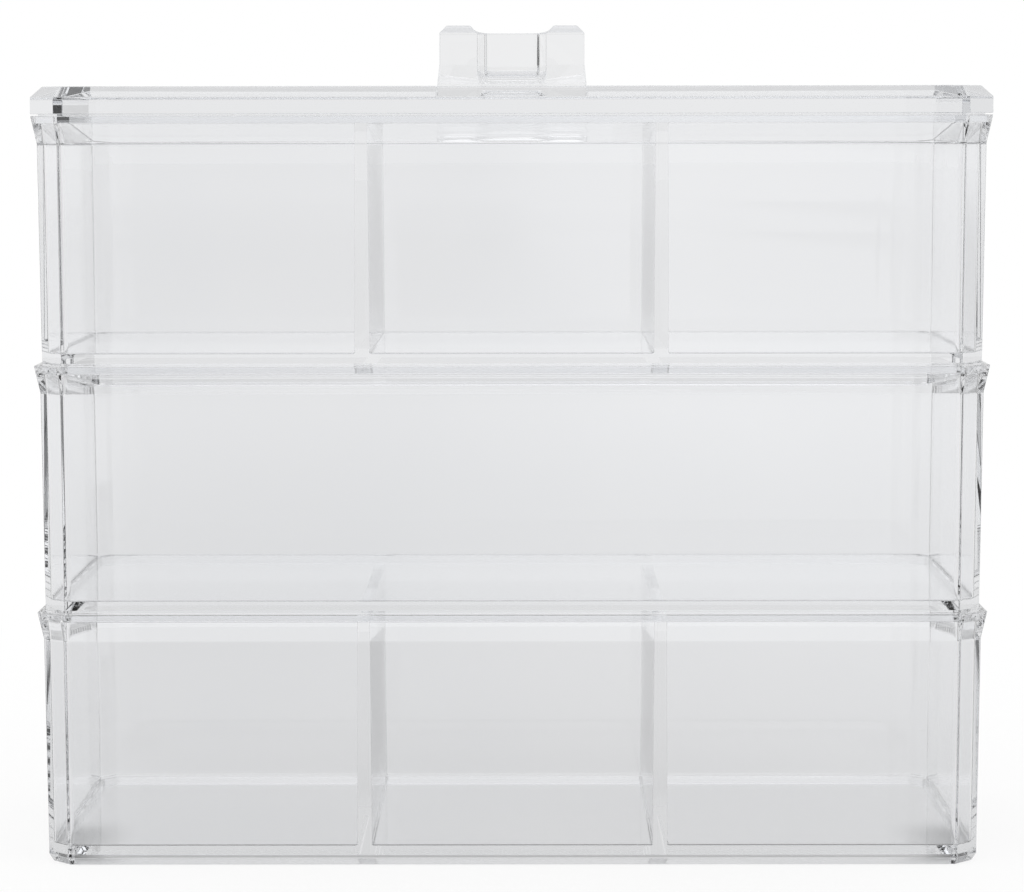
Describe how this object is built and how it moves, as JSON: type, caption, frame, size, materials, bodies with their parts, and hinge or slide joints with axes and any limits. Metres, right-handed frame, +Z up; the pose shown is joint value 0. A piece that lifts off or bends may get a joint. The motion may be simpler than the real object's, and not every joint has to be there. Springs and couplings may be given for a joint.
{
  "type": "stacking jewellery box",
  "caption": "Clear plastic jewellery box of stacking trays with flared rims and chamfered corners, some divided, under a thick bevelled lid with a low grip.",
  "frame": {"origin": "middle of the underside, on the surface that the box stands on", "axes": "+X along the long side to the right of a person facing the front, +Y towards the back, +Z up"},
  "size_m": [0.24, 0.104, 0.2124],
  "materials": {
    "tray_plastic": "clear, polished",
    "divider_plastic": "clear, polished",
    "lid_plastic": "clear, polished",
    "grip_plastic": "clear, polished"
  },
  "bodies": {
    "bottom": {"bottom_tray": "tray_plastic", "bottom_divider_left": "divider_plastic", "bottom_divider_right": "divider_plastic"},
    "middle": {"middle_tray": "tray_plastic"},
    "top": {"top_tray": "tray_plastic", "top_divider_left": "divider_plastic", "top_divider_right": "divider_plastic"},
    "cover": {"lid": "lid_plastic", "grip": "grip_plastic"}
  },
  "joints": [
    {"name": "middle_lift", "type": "slide", "parent": "bottom", "child": "middle", "axis": [0, 0, 1], "range_m": [0, 0.08]},
    {"name": "top_lift", "type": "slide", "parent": "middle", "child": "top", "axis": [0, 0, 1], "range_m": [0, 0.08]},
    {"name": "lid_lift", "type": "slide", "parent": "top", "child": "cover", "axis": [0, 0, 1], "range_m": [0, 0.06]}
  ]
}
